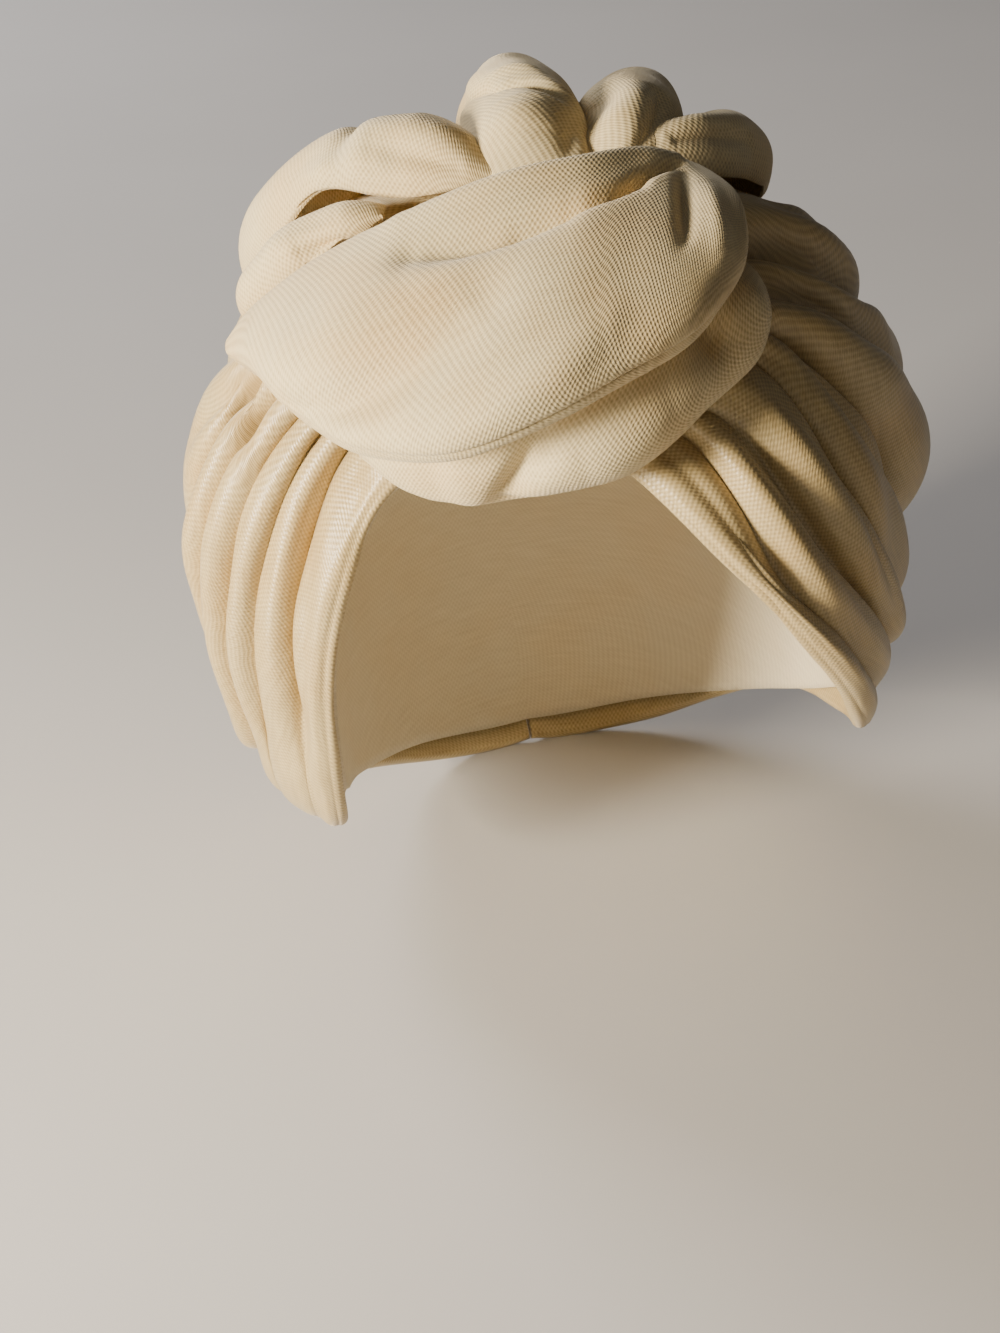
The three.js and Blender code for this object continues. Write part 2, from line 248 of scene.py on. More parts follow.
def between(low, high, part):
    """Directions part way from low to high, round the head."""
    angle = np.arccos(np.clip(dot(low, high), -1, 1))
    part = part[..., None]
    return (low * np.sin((1 - part) * angle) + high * np.sin(part * angle)) / np.sin(angle)


def smooth_step(x):
    x = np.clip(x, 0, 1)
    return x * x * (3 - 2 * x)


# %% [markdown]
# ## From a grid to a piece of cloth
# Cloth is a sheet, so every piece starts as a flat grid. Its corners are moved to the places that
# its fold's own formula gives, its UV map is scaled to real metres so that the weave keeps its
# size, and a Solidify modifier gives it the thickness of the cloth. Each formula works on all
# corners at once, with u along the fold and v across it.

# %% Dents, creases and a grid of cloth
CLOTH_THICKNESS = 1.3
CREASE_DEPTH = 1.5
FOLD_LINE_WIDTH = 1.25
cloth_seed = np.random.default_rng(41)


def ripples(points, size, waves=14):
    """Soft unevenness between about -1 and 1, with hollows about size apart."""
    total = np.zeros(points.shape[:-1])
    for _ in range(waves):
        way = unit(cloth_seed.normal(size=3))
        pitch = size * cloth_seed.uniform(0.8, 1.6)
        total += np.sin(points @ way * 2 * np.pi / pitch + cloth_seed.uniform(0, 6.28))
    return total / waves**0.5


def streaks(u, v, finest, waves=9):
    """Small gathers that run along a sheet and wander a little, between about -1 and 1."""
    total = np.zeros(u.shape)
    for _ in range(waves):
        count = cloth_seed.uniform(0.4, 1.0) * finest
        phase, drift, start = cloth_seed.uniform(0, 6.28, 3)
        bend = 1.8 * np.sin(2 * np.pi * cloth_seed.uniform(0.4, 1.4) * u + drift)
        strength = 0.5 + 0.5 * np.sin(2 * np.pi * (1.2 * u + 0.7 * v) + start)
        total += strength * np.sin(2 * np.pi * count * v + phase + bend)
    return total / waves**0.5


def normals_of(points):
    along = np.gradient(points, axis=0)
    across = np.gradient(points, axis=1)
    return unit(np.cross(along, across) + 1e-9)


def run_lengths(points, axis):
    steps = np.linalg.norm(np.diff(points, axis=axis), axis=-1)
    start = np.zeros_like(np.take(steps, [0], axis=axis))
    return np.cumsum(np.concatenate((start, steps), axis=axis), axis=axis)


def creases(points, u, v, table):
    """How far the listed soft creases push each corner out, in mm: negative is a hollow.

    A row gives both ends of the crease as u and v, its width in mm and its height in mm."""
    long = run_lengths(points, 0)[-1].mean()
    wide = run_lengths(points, 1)[:, -1].mean()
    push = np.zeros(points.shape[:-1])
    for u0, v0, u1, v1, width, height in table:
        x, y = (u - u0) * long, (v - v0) * wide
        run, climb = (u1 - u0) * long, (v1 - v0) * wide
        part = np.clip((x * run + y * climb) / (run**2 + climb**2 + 1e-9), 0, 1)
        gap = np.hypot(x - part * run, y - part * climb)
        ends = 0.35 + 0.65 * np.sin(np.pi * np.clip(part, 0.02, 0.98)) ** 0.7
        push += CREASE_DEPTH * height * ends * np.exp(-((gap / width) ** 2))
    return push


def fold_lines(points, table):
    """How far the listed smaller folds push each corner out, in mm."""
    ways = points - HEAD_CENTRE
    reach = np.linalg.norm(ways, axis=-1)
    ways = unit(ways)
    push = np.zeros(reach.shape)
    for stations, width, height in table:
        line = SmoothLine([direction(*station) for station in stations])
        t = np.linspace(0, 1, 12 * len(stations))
        spots = unit(line(t))
        strength = np.zeros(reach.shape)
        for k in range(len(t) - 1):
            span = spots[k + 1] - spots[k]
            part = np.clip((ways - spots[k]) @ span / (span @ span), 0, 1)
            gap = np.linalg.norm(ways - spots[k] - part[..., None] * span, axis=-1) * reach
            ends = np.sin(np.pi * np.clip((k + part) / (len(t) - 1), 0.01, 0.99)) ** 0.8
            near = np.exp(-((gap / (FOLD_LINE_WIDTH * width)) ** 2))
            strength = np.maximum(strength, ends * near)
        push += height * strength
    return push


def relax(points, times):
    """Eases the sheet the way cloth does, so that no fold is sharper than the cloth can bend."""
    for _ in range(times):
        middle = points[1:-1, 1:-1]
        round_about = (points[:-2, 1:-1] + points[2:, 1:-1]
                       + points[1:-1, :-2] + points[1:-1, 2:]) / 4
        points = points.copy()
        points[1:-1, 1:-1] = middle * 0.5 + round_about * 0.5
    return points


def grid(along, across):
    """Numbers from 0 to 1 along and across a sheet, a pair for each corner."""
    return np.meshgrid(np.linspace(0, 1, along + 1), np.linspace(0, 1, across + 1), indexing="ij")


def cloth_piece(name, points, thickness=CLOTH_THICKNESS):
    """A piece of cloth whose corners lie at the given grid of points, in mm."""
    along, across = points.shape[0] - 1, points.shape[1] - 1
    bpy.ops.object.select_all(action="DESELECT")
    bpy.ops.mesh.primitive_grid_add(x_subdivisions=along, y_subdivisions=across, size=2)
    piece = bpy.context.object
    piece.name = name
    mesh = piece.data
    corners = np.empty(len(mesh.vertices) * 3)
    mesh.vertices.foreach_get("co", corners)
    flat = corners.reshape(-1, 3)
    i = np.rint((flat[:, 0] + 1) / 2 * along).astype(int)
    j = np.rint((flat[:, 1] + 1) / 2 * across).astype(int)
    mesh.vertices.foreach_set("co", (points[i, j] * MM).ravel())
    long, wide = run_lengths(points, 0) * MM, run_lengths(points, 1) * MM
    corner_of = np.empty(len(mesh.loops), int)
    mesh.loops.foreach_get("vertex_index", corner_of)
    cloth_map = np.stack((long[i, j], wide[i, j]), axis=-1)[corner_of]
    mesh.uv_layers[0].name = "cloth"
    mesh.uv_layers[0].uv.foreach_set("vector", cloth_map.ravel())
    mesh.update()
    outward = dot(normals_of(points), points - HEAD_CENTRE).sum()
    if outward < 0:
        mesh.flip_normals()
    bpy.ops.object.shade_smooth()
    wall = piece.modifiers.new("thickness", "SOLIDIFY")
    wall.thickness = thickness * MM
    wall.offset = 0
    print(f"{name}: {along} by {across}, about {long[-1].mean():.3f} by {wide[:, -1].mean():.3f} m")
    return piece


# %% [markdown]
# ## The side wraps
# The cloth leaves the knot, is gathered into pleats and runs round the ear to a seam at the back.
# Each row of a table is one valley between two pleats, from the hem up: where it passes the
# knot, the brow and the ear. The pleat above it stands out by its bulge. Crisp valleys are cut
# like the cusps between waves, lean tips a pleat over its neighbour, and near the knot a pleat
# splits into the small folds that a hand gathers.

# %% Tables of the side wraps
#  knot (azimuth, elevation, standoff), brow, ear, then bulge, lean, crisp, folds, fold depth
RIGHT_ROWS = (
    ((-60, 50, 3.8), (-68, 22, 3.8), (-80, -24, 3.8), 6, 0.02, 0.15, 1, 0.4),
    ((-76, 54, 13), (-80, 28, 12), (-84, -21, 9), 6, -0.10, 0.30, 1, 0.5),
    ((-80, 54, 20), (-86, 27, 21), (-93, -19, 17), 6.5, -0.16, 0.45, 1, 0.4),
    ((-84, 54, 26), (-90, 28, 27), (-98, -11, 23), 8.5, -0.30, 0.55, 1, 0.4),
    ((-88, 55, 31), (-94, 31, 34), (-104, 2, 26), 7.5, -0.30, 0.55, 1, 0.4),
    ((-92, 57, 35), (-100, 37, 37), (-114, 16, 31), 8, -0.26, 0.55, 1, 0.5),
    ((-96, 60, 40), (-108, 46, 41), (-128, 32, 37), 4, 0.05, 0.50, 2, 0.6),
    ((-98, 65, 47), (-114, 58, 47), (-137, 47, 44), 0, 0, 0, 0, 0),
)
LEFT_ROWS = (
    ((3, 53, 3.8), (20, 29, 3.8), (52, -10, 3.8), 5, 0.02, 0.10, 1, 0.3),
    ((17, 53, 12), (27, 27, 9), (60, -8, 7), 5, 0.06, 0.20, 1, 0.4),
    ((23, 53, 20), (37, 30, 14), (66, -2, 11), 6, 0.05, 0.30, 1, 0.4),
    ((38, 56, 27), (46, 36, 21), (66, 6, 14), 6, 0.12, 0.50, 1, 0.5),
    ((43, 58, 31), (62, 40, 26), (80, 14, 20), 9, 0.14, 0.60, 1, 0.6),
    ((47, 61, 34), (70, 46, 36), (90, 28, 40), 7, 0.14, 0.60, 1, 0.6),
    ((56, 66, 38), (70, 54, 42), (94, 41, 42), 9, 0.16, 0.60, 2, 0.7),
    ((66, 72, 46), (86, 62, 48), (112, 50, 44), 0, 0, 0, 0, 0),
)
#  how far each valley has faded past the brow, from the hem up
RIGHT_MERGES = (0, 0.95, 0.85, 0, 0.2, 0, 0, 0)
LEFT_MERGES = (0, 0.8, 0.3, 0, 0, 0, 0, 0)
#  how deep each valley is in mm
RIGHT_VALLEYS = (0, 8, 11, 16, 16, 15, 9, 0)
LEFT_VALLEYS = (0, 3, 8, 11, 13, 14, 12, 0)
#  the smaller folds: (azimuth, elevation) along each, then width and height, negative for a hollow
RIGHT_FOLD_LINES = (
    (((-70, 52), (-67, 46), (-66, 38)), 4.5, -2.2),
    (((-77, 45), (-74, 34), (-73, 19), (-76, 2), (-80, -10)), 3.6, -2.2),
    (((-82, 50), (-84, 42), (-85, 34), (-86, 24), (-87, 12), (-90, -4)), 4.0, 2.3),
    (((-88, 46), (-91, 35), (-94, 25), (-95, 15)), 5.0, 2.4),
    (((-92, 49), (-89, 42)), 3.0, -2.8),
    (((-94, 50), (-98, 45), (-102, 40), (-105, 34)), 3.0, -3.8),
    (((-96, 52), (-104, 46), (-108, 40), (-110, 33)), 6.0, 2.6),
    (((-112, 8), (-130, -4), (-152, -8)), 4.0, -2.0),
    (((-118, 22), (-140, 14), (-165, 8)), 4.0, -2.0),
)
LEFT_FOLD_LINES = (
    (((14, 52), (17, 42), (22, 33), (29, 23), (38, 10)), 6.0, -2.4),
    (((19, 51), (25, 38), (31, 25), (38, 10), (50, -6)), 4.5, 1.6),
    (((24, 54), (30, 42), (37, 28), (46, 10)), 4.5, -2.6),
    (((34, 54), (40, 43), (44, 34), (50, 20), (60, 4)), 2.5, -2.2),
    (((41, 55), (46, 46), (51, 33), (56, 18), (64, 4)), 3.0, 2.4),
    (((47, 57), (51, 48), (58, 36), (68, 24), (76, 12)), 4.0, -4.8),
    (((51, 60), (57, 52), (68, 42), (80, 36)), 6.0, 2.6),
    (((50, 64), (58, 57), (66, 49), (78, 41)), 3.0, -3.8),
    (((56, 65), (64, 56), (72, 48)), 4.0, 1.6),
    (((59, 67), (66, 61), (74, 54), (80, 48)), 3.0, -4.8),
    (((66, 69), (72, 62), (80, 55), (88, 49)), 5.0, 2.2),
    (((74, 65), (84, 57), (92, 49)), 2.2, -1.6),
    (((100, 2), (122, -8), (150, -10)), 4.0, -2.0),
    (((108, 20), (132, 12), (162, 6)), 4.0, -2.0),
)
print("pleats:", len(RIGHT_ROWS) - 1, "on the right,", len(LEFT_ROWS) - 1, "on the left")

# %% The lines of the pleats
KNOT = (-12, 62)
HEM_STANDOFF = 3.8
TUCK_REACH = 0.2
TUCK_STANDOFF = 0.72
NAPE_ELEVATION = -44
SEAM_TOP_ELEVATION = 18
SEAM_TOP_STANDOFF = 32
SEAM_GAP = 0.25
SEAM_TOP_SPREAD = 0.1
BEHIND_EAR_DROP = 0.62
BEHIND_EAR_STANDOFF = 0.4


def mix(a, b, part):
    return a + (b - a) * part


def valley_line(rows, index, side, u):
    """One valley, from its tuck under the knot, round the side, to the seam at the back."""
    knot, brow, ear = rows[index][:3]
    rise = index / (len(rows) - 1)
    start = direction(knot[0], knot[1])
    tuck_way = unit(mix(start, direction(*KNOT), TUCK_REACH))
    tuck = (math.degrees(math.atan2(tuck_way[0], -tuck_way[1])),
            math.degrees(math.asin(tuck_way[2])), mix(HEM_STANDOFF, knot[2], TUCK_STANDOFF))
    back = (side * (180 - SEAM_GAP - SEAM_TOP_SPREAD * rise**8),
            mix(NAPE_ELEVATION, SEAM_TOP_ELEVATION, rise),
            mix(HEM_STANDOFF, SEAM_TOP_STANDOFF, rise))
    behind = (side * mix(abs(ear[0]), 180, 0.5), mix(ear[1], back[1], BEHIND_EAR_DROP),
              mix(ear[2], back[2], BEHIND_EAR_STANDOFF))
    return head_line((tuck, knot, brow, ear, behind, back), u)


# %% The pleated cloth of one side
PLEAT_AT_KNOT = 0.12
PLEAT_GROWTH = 0.9
PLEAT_FADE_TO_BACK = 0.7
PLEAT_FULLNESS = 1.2
PLEAT_ROUNDNESS = 0.58
HEM_ROLL = 1.5
FOLD_LINE_DEPTH = 1.05
MERGE_START = 0.24
MERGE_LENGTH = 0.22
MERGED_PLEATS = 3
VALLEY_FADE_TO_BACK = 0.6
GATHERS_AT = 0.10
GATHERS_LENGTH = 0.20
SEAM_DIP_LENGTH = 0.035
HEM_TURNED_UNDER = 7.0
HEM_COLUMNS = 16
SEAM_DIP = 1.8


def side_wrap(rows, valleys, merges, broad, side, along, columns_per_pleat):
    """A pleated sheet. Past the brow valley k fades by merges[k], and the first pleats become
    one soft roll that stands broad mm out."""
    pleats = len(rows) - 1
    u = np.linspace(0, 1, along + 1)
    lines = [valley_line(rows, index, side, u) for index in range(len(rows))]
    across_v = np.linspace(0, pleats, pleats * columns_per_pleat + 1)
    sheet = []
    for v in across_v:
        pleat = min(int(v), pleats - 1)
        t = v - pleat
        bulge, lean, crisp, folds, fold_depth = rows[pleat][3:]
        (low, low_off), (high, high_off) = lines[pleat], lines[pleat + 1]
        part = t - crisp * math.sin(2 * math.pi * t) / (2 * math.pi)
        spot = off_head(between(low, high, np.full_like(u, part)), mix(low_off, high_off, part))
        chord = off_head(high, high_off) - off_head(low, low_off)
        width = np.linalg.norm(chord, axis=-1, keepdims=True)
        across = chord / width
        out = spot - HEAD_CENTRE
        out = unit(out - across * dot(out, across))
        growth = np.sin(np.pi * np.minimum(0.5, PLEAT_AT_KNOT + PLEAT_GROWTH * u))
        fade = growth * (1 - PLEAT_FADE_TO_BACK * u)
        arch = math.sin(math.pi * t) ** PLEAT_ROUNDNESS if 0 < t < 1 else 0
        past_brow = smooth_step((u - MERGE_START) / MERGE_LENGTH)
        below, above = (valleys[k] * (1 - merges[k] * past_brow) for k in (pleat, pleat + 1))
        sunk = mix(below, above, t) * growth * (1 - VALLEY_FADE_TO_BACK * u)
        bulge = bulge * (1 - max(merges[pleat], merges[pleat + 1]) * past_brow)
        height = (bulge * PLEAT_FULLNESS * fade + sunk) * arch - sunk
        gathers = np.exp(-((u - GATHERS_AT) / GATHERS_LENGTH) ** 2)
        small = np.cos(2 * np.pi * (folds * t + 0.35 * pleat + 1.3 * u)) if folds else 0
        height = height + fold_depth * gathers * small * arch
        if v < MERGED_PLEATS:
            roll = math.sin(math.pi * v / MERGED_PLEATS) ** 0.8
            height = height + broad * roll * past_brow * (1 - PLEAT_FADE_TO_BACK * u)
        slide = lean * width[:, 0] * arch**2 * growth
        if pleat == 0:
            edge = 1 - smooth_step(t / 0.9)
            height = height + 2 * HEM_ROLL * edge
            slide = slide + HEM_ROLL * edge
        sheet.append(spot + out * height[:, None] + across * slide[:, None])
        if v == 0:
            hem_frame = (off_head(low, low_off), out, across)
    hem = hem_columns(*hem_frame)
    points = np.stack(hem + sheet, axis=1)
    dip = SEAM_DIP * smooth_step((u - 1 + SEAM_DIP_LENGTH) / SEAM_DIP_LENGTH) ** 1.5
    inward = unit(HEAD_CENTRE - points)
    return points + inward * dip[:, None, None]


def hem_columns(edge, out, across):
    """The hem: from the raw edge inside, round a soft roll, up to where the pleat begins."""
    columns = []
    for step in range(HEM_COLUMNS):
        w = 1 - step / HEM_COLUMNS
        if w > 0.5:
            back = (w - 0.5) * 2 * HEM_TURNED_UNDER
            columns.append(edge + across * (HEM_ROLL + back))
        else:
            angle = math.pi * (1 - w * 2)
            columns.append(edge + across * HEM_ROLL * (1 - math.sin(angle))
                           + out * HEM_ROLL * (1 - math.cos(angle)))
    return columns


# %% [markdown]
# ## The crown
# Between the two side wraps a broad piece of the same cloth lies over the crown, with shallow
# gathers that run back to the seam. The rolls and loops stand on it. A fold is an arch of cloth
# carried along a line from the knot to the back, with its front closed by the cloth that comes
# up out of the knot, so its width and height grow fast from nothing there.

# %% Crown sizes
CROWN_EDGE_ANGLE = 1
CROWN_STANDOFF = 49
CROWN_DIP_AT_KNOT = 12
CROWN_DIP_LENGTH = 0.12
CROWN_FULL_ELEVATION = 72
CROWN_EDGE_MOST = 0.4
CROWN_GATHERS = 9
CROWN_GATHER_HEIGHT = 1.1
FOLD_CLEARANCE = 3


def crown_standoff(ways):
    elevation = np.degrees(np.arcsin(ways[..., 2]))
    climb = (elevation - SEAM_TOP_ELEVATION) / (CROWN_FULL_ELEVATION - SEAM_TOP_ELEVATION)
    return mix(SEAM_TOP_STANDOFF, CROWN_STANDOFF, np.sin(np.clip(climb, 0, 1) * np.pi / 2))


def crown_sheet(along, across):
    u, v = grid(along, across)
    last = len(RIGHT_ROWS) - 1
    low, _ = valley_line(RIGHT_ROWS, last, -1, u[:, 0])
    high, _ = valley_line(LEFT_ROWS, last, 1, u[:, 0])
    low = np.repeat(low[:, None], across + 1, axis=1)
    high = np.repeat(high[:, None], across + 1, axis=1)
    edge = CROWN_EDGE_ANGLE / np.degrees(np.arccos(dot(low, high)))[..., 0]
    edge = np.minimum(edge, CROWN_EDGE_MOST)
    ways = between(low, high, mix(edge, 1 - edge, v))
    dip = CROWN_DIP_AT_KNOT * np.maximum(0, 1 - u / CROWN_DIP_LENGTH)
    gathers = CROWN_GATHER_HEIGHT * np.cos(2 * np.pi * (CROWN_GATHERS * v + 0.6 * np.sin(3 * u)))
    gathers = gathers * np.sin(np.pi * np.clip(u, 0, 1)) ** 0.6
    return off_head(ways, crown_standoff(ways) - dip + gathers)


# %% Tables of the crown folds
#  at (azimuth, elevation), half width, height
#  creases: u, v at one end, u, v at the other, width, height (negative is a hollow), in mm
CROWN_FOLDS = {
    "crown_roll_right": dict(flat=(0.045, 0.18, 0.0070), lift=1, front=0.16, rows=(
        ((-92, 87), 10, 4), ((-110, 79), 15, 17), ((-121, 70), 16, 19), ((-128, 58), 14, 15),
        ((-140, 45), 9, 9), ((-155, 33), 5, 4)), rim=(0.40, 0.13, 9.0), creases=(
            (0.16, 0.78, 0.34, 0.70, 3.0, -1.4), (0.34, 0.74, 0.50, 0.80, 4.0, 1.2),
            (0.44, 0.30, 0.42, 0.70, 4.5, -2.0), (0.10, 0.50, 0.24, 0.60, 4.0, 0.8))),
    "crown_loop_right": dict(flat=(0.025, 0.07, 0.0016), lift=2, front=0.2, rows=(
        ((-84, 73), 5, 4), ((-90, 68), 7.5, 7), ((-94, 63), 8, 9), ((-100, 57), 6.5, 7),
        ((-108, 52), 4, 4)), rim=None, creases=(
            (0.24, 0.96, 0.50, 0.78, 2.0, -1.8), (0.30, 0.60, 0.55, 0.55, 2.5, -0.8))),
    "crown_loop_centre": dict(flat=(0.060, 0.165, 0.0085), lift=0, front=0.12, rows=(
        ((-6, 86), 14, 4), ((175, 88), 17, 17), ((172, 81), 18, 22), ((172, 72), 17, 24),
        ((175, 57), 13, 16), ((178, 40), 7, 5)), rim=None, creases=(
            (0.29, 0.36, 0.345, 0.46, 2.0, -1.6), (0.345, 0.45, 0.38, 0.60, 2.0, -2.4),
            (0.37, 0.60, 0.52, 0.76, 1.7, -1.3), (0.52, 0.76, 0.68, 0.80, 1.7, -1.0),
            (0.30, 0.22, 0.40, 0.42, 3.4, 1.0), (0.42, 0.42, 0.46, 0.60, 3.4, 1.0),
            (0.46, 0.60, 0.60, 0.72, 3.2, 0.8), (0.60, 0.82, 0.36, 0.90, 1.4, -1.6),
            (0.15, 0.56, 0.26, 0.54, 7.0, 1.6), (0.08, 0.30, 0.24, 0.28, 4.0, -1.2))),
    "crown_loop_left": dict(flat=(0.050, 0.155, 0.0068), lift=0.5, front=0.12, rows=(
        ((74, 84), 12, 5), ((102, 79), 15, 16), ((122, 75), 16, 20), ((136, 67), 14, 20),
        ((150, 53), 9, 12), ((162, 39), 5, 4)), rim=None, creases=(
            (0.10, 0.62, 0.36, 0.66, 4.0, -1.2), (0.06, 0.48, 0.34, 0.46, 5.0, 1.2),
            (0.12, 0.22, 0.34, 0.38, 3.0, -1.8))),
    "crown_roll_left": dict(flat=(0.040, 0.15, 0.0056), lift=2, front=0.14, rows=(
        ((80, 79), 9, 6), ((93, 73), 12, 12), ((104, 67), 13, 14.5), ((117, 60), 13.5, 15),
        ((131, 50), 11, 12), ((147, 37), 7, 5)), rim=None, creases=(
            (0.14, 0.34, 0.44, 0.26, 2.4, -1.6), (0.16, 0.56, 0.46, 0.62, 5.0, -1.3),
            (0.12, 0.46, 0.44, 0.44, 4.0, 1.1))),
}
print("crown folds:", ", ".join(CROWN_FOLDS))


# %% The shape of a crown fold
FOLD_END = 0.30
FOLD_END_SINK = 5.0
FOLD_END_NARROWING = 0.75
FOLD_FRONT_SPACING = 1.25
FOLD_TURNED_UNDER = 0.35
FOLD_SQUARENESS = 2.05
UNDERSIDE_FLATNESS = 0.35


def out_of(points):
    return unit(points - HEAD_CENTRE)


def crown_fold(rows, lift, front, rim, along, across):
    u, v = grid(along, across)
    stations = []
    for (azimuth, elevation), _, _ in rows:
        way = direction(azimuth, elevation)
        stations.append(off_head(way, crown_standoff(way) + FOLD_CLEARANCE + lift))
    line = SmoothLine(stations)
    sizes = numbered([(half, height) for _, half, height in rows])
    t = u ** FOLD_FRONT_SPACING
    centre = line(t)
    tangent = unit(line(np.clip(t + 0.004, 0, 1)) - line(np.clip(t - 0.004, 0, 1)))
    out = out_of(centre)
    across_way = unit(np.cross(tangent, out))
    rise = np.sqrt(np.clip(1 - (1 - np.clip(t / front, 0, 1)) ** 2, 0, 1))
    ending = np.clip((t - 1 + FOLD_END) / FOLD_END, 0, 1)
    rise = rise * np.sqrt(np.clip(1 - ending**2, 0, 1))
    centre = centre - out_of(centre) * (FOLD_END_SINK * ending**2)[..., None]
    half = sizes(t)[..., 1] * (0.6 + 0.4 * rise) * (1 - FOLD_END_NARROWING * ending**3)
    height = sizes(t)[..., 2] * rise
    angle = mix(-FOLD_TURNED_UNDER, math.pi + FOLD_TURNED_UNDER, v)
    power = 2 / FOLD_SQUARENESS
    wide = np.sign(np.cos(angle)) * abs(np.cos(angle)) ** power
    tall = np.sign(np.sin(angle)) * abs(np.sin(angle)) ** power
    tall = np.where(tall < 0, tall * UNDERSIDE_FLATNESS, tall)
    if rim:
        place, spread, raised = rim
        near = smooth_step((v - 0.66) / 0.34) * np.exp(-(((t - place) / spread) ** 2))
        centre = centre + out * (raised * near)[..., None]
    return centre + across_way * (half * wide)[..., None] + out * (height * tall)[..., None]


# %% [markdown]
# ## The two lobes of the knot
# The knot is one broad band of cloth laid across another. Seen from the front the upper one is
# a leaf: it narrows to a tip at the wearer's right and ends blunt at the left. Each row gives its
# top edge, its bottom edge and how far it bulges between them.

# %% Tables of the lobes
#  top edge, bottom edge (azimuth, elevation, standoff), bulge
UPPER_LOBE_ROWS = (
    ((-88, 52, 55), (-84, 51, 56), 1), ((-86, 57, 53), (-70, 51, 56), 7),
    ((-80, 64, 52), (-58, 49, 52), 12), ((-72, 71, 52), (-44, 47, 49), 15),
    ((-44, 79, 52), (-28, 47, 48), 17), ((20, 81, 53), (-13, 50, 50), 17),
    ((56, 78, 54), (-1, 53, 52), 15), ((62, 74, 55), (13, 56, 54), 12),
    ((52, 69, 57), (28, 60, 56), 7), ((40, 65, 57), (35, 63, 57), 1),
)
LOWER_LOBE_ROWS = (
    ((-54, 55, 32), (-57, 50, 24), 2), ((-42, 58, 34), (-46, 49, 13), 10),
    ((-27, 59, 36), (-32, 49, 7), 14), ((-14, 61, 38), (-18, 50, 7), 15),
    ((2, 63, 40), (0, 51, 9), 16), ((16, 65, 41), (17, 53, 21), 14),
    ((27, 67, 43), (32, 55, 34), 11), ((34, 68, 45), (40, 59, 42), 7),
    ((38, 71, 46), (42, 66, 45), 1),
)
#  how far the cloth runs on behind the edges: (u, mm)
UPPER_LOBE_TUCK = ((0, 11), (0.12, 19), (0.3, 15), (0.5, 9), (0.8, 10), (0.92, 16), (1, 12))
LOWER_LOBE_TUCK = ((0, 6), (0.3, 5), (0.6, 7), (0.85, 12), (1, 10))
#  creases: u, v at one end, u, v at the other, width, height (a minus is a hollow), in mm
UPPER_LOBE_CREASES = (
    (0.40, 0.419, 0.54, 0.414, 3.6, -4.4), (0.50, 0.410, 0.66, 0.396, 2.2, -3.0),
    (0.62, 0.400, 0.745, 0.310, 1.9, -3.0), (0.38, 0.301, 0.73, 0.274, 4.5, 3.0),
    (0.25, 0.808, 0.47, 0.554, 6.0, -3.2), (0.20, 0.699, 0.40, 0.482, 8.0, 1.4),
    (0.745, 0.373, 0.745, 0.554, 3.0, -2.2), (0.80, 0.410, 0.82, 0.645, 5.0, 1.2),
    (0.42, 0.808, 0.62, 0.699, 6.0, 1.3),
    (0.20, 0.876, 0.80, 0.862, 1.5, -0.8), (0.20, 0.921, 0.80, 0.907, 2.0, 0.8),
)
LOWER_LOBE_CREASES = (
    (0.40, 0.450, 0.32, 0.750, 4.0, -3.6), (0.62, 0.367, 0.67, 0.567, 4.2, -3.2),
    (0.44, 0.600, 0.56, 0.550, 9.0, 1.6), (0.20, 0.500, 0.22, 0.750, 4.5, -1.2),
    (0.74, 0.500, 0.80, 0.667, 6.0, 1.2), (0.15, 0.800, 0.70, 0.817, 1.6, -0.6),
)
print("lobes:", len(UPPER_LOBE_ROWS), "and", len(LOWER_LOBE_ROWS), "rows")


# %% The shape of a lobe
TUCK_SHARE = 0.13
TURNED_IN = 0.35
TIP_TURNED_IN, TIP_LENGTH = 0.45, 0.13
BLUNT_END_TURNED_IN, BLUNT_END_LENGTH = 0.3, 0.1


def lobe(rows, along, across, tuck, squareness):
    """A pillow between two edge lines. Its cloth runs on behind them and turns in at the ends."""
    u, v = grid(along, across)
    tops = SmoothLine([off_head(direction(*top[:2]), np.array(top[2])) for top, _, _ in rows])(u)
    bottoms = SmoothLine([off_head(direction(*low[:2]), np.array(low[2])) for _, low, _ in rows])(u)
    bulge = numbered([row[2] for row in rows])(u)[..., 1]
    middle, half = (tops + bottoms) / 2, (tops - bottoms) / 2
    side = unit(half)
    out = middle - HEAD_CENTRE
    out = unit(out - side * dot(out, side))
    angle = math.pi * np.clip((v - TUCK_SHARE) / (1 - 2 * TUCK_SHARE), 0, 1)
    behind = np.clip((TUCK_SHARE - np.minimum(v, 1 - v)) / TUCK_SHARE, 0, 1)
    power = 2 / squareness
    wide = np.sign(np.cos(angle)) * abs(np.cos(angle)) ** power
    turned_in = (TURNED_IN + TIP_TURNED_IN * np.exp(-((u / TIP_LENGTH) ** 2))
                 + BLUNT_END_TURNED_IN * np.exp(-(((1 - u) / BLUNT_END_LENGTH) ** 2)))
    wide = wide * (1 - turned_in * behind**1.5)
    tall = abs(np.sin(angle)) ** power
    depth = np.interp(u, *zip(*tuck)) * behind
    return middle + half * wide[..., None] + out * (bulge * tall - depth)[..., None]


# %% [markdown]
# ## Weaving the finish
# The cloth is a crepe with a grain of small raised threads in offset rows, a soft sheen, and
# patches where it is a little warmer. Shader maths is written as plain sums: a socket is wrapped
# so that adding or multiplying adds the Math node.


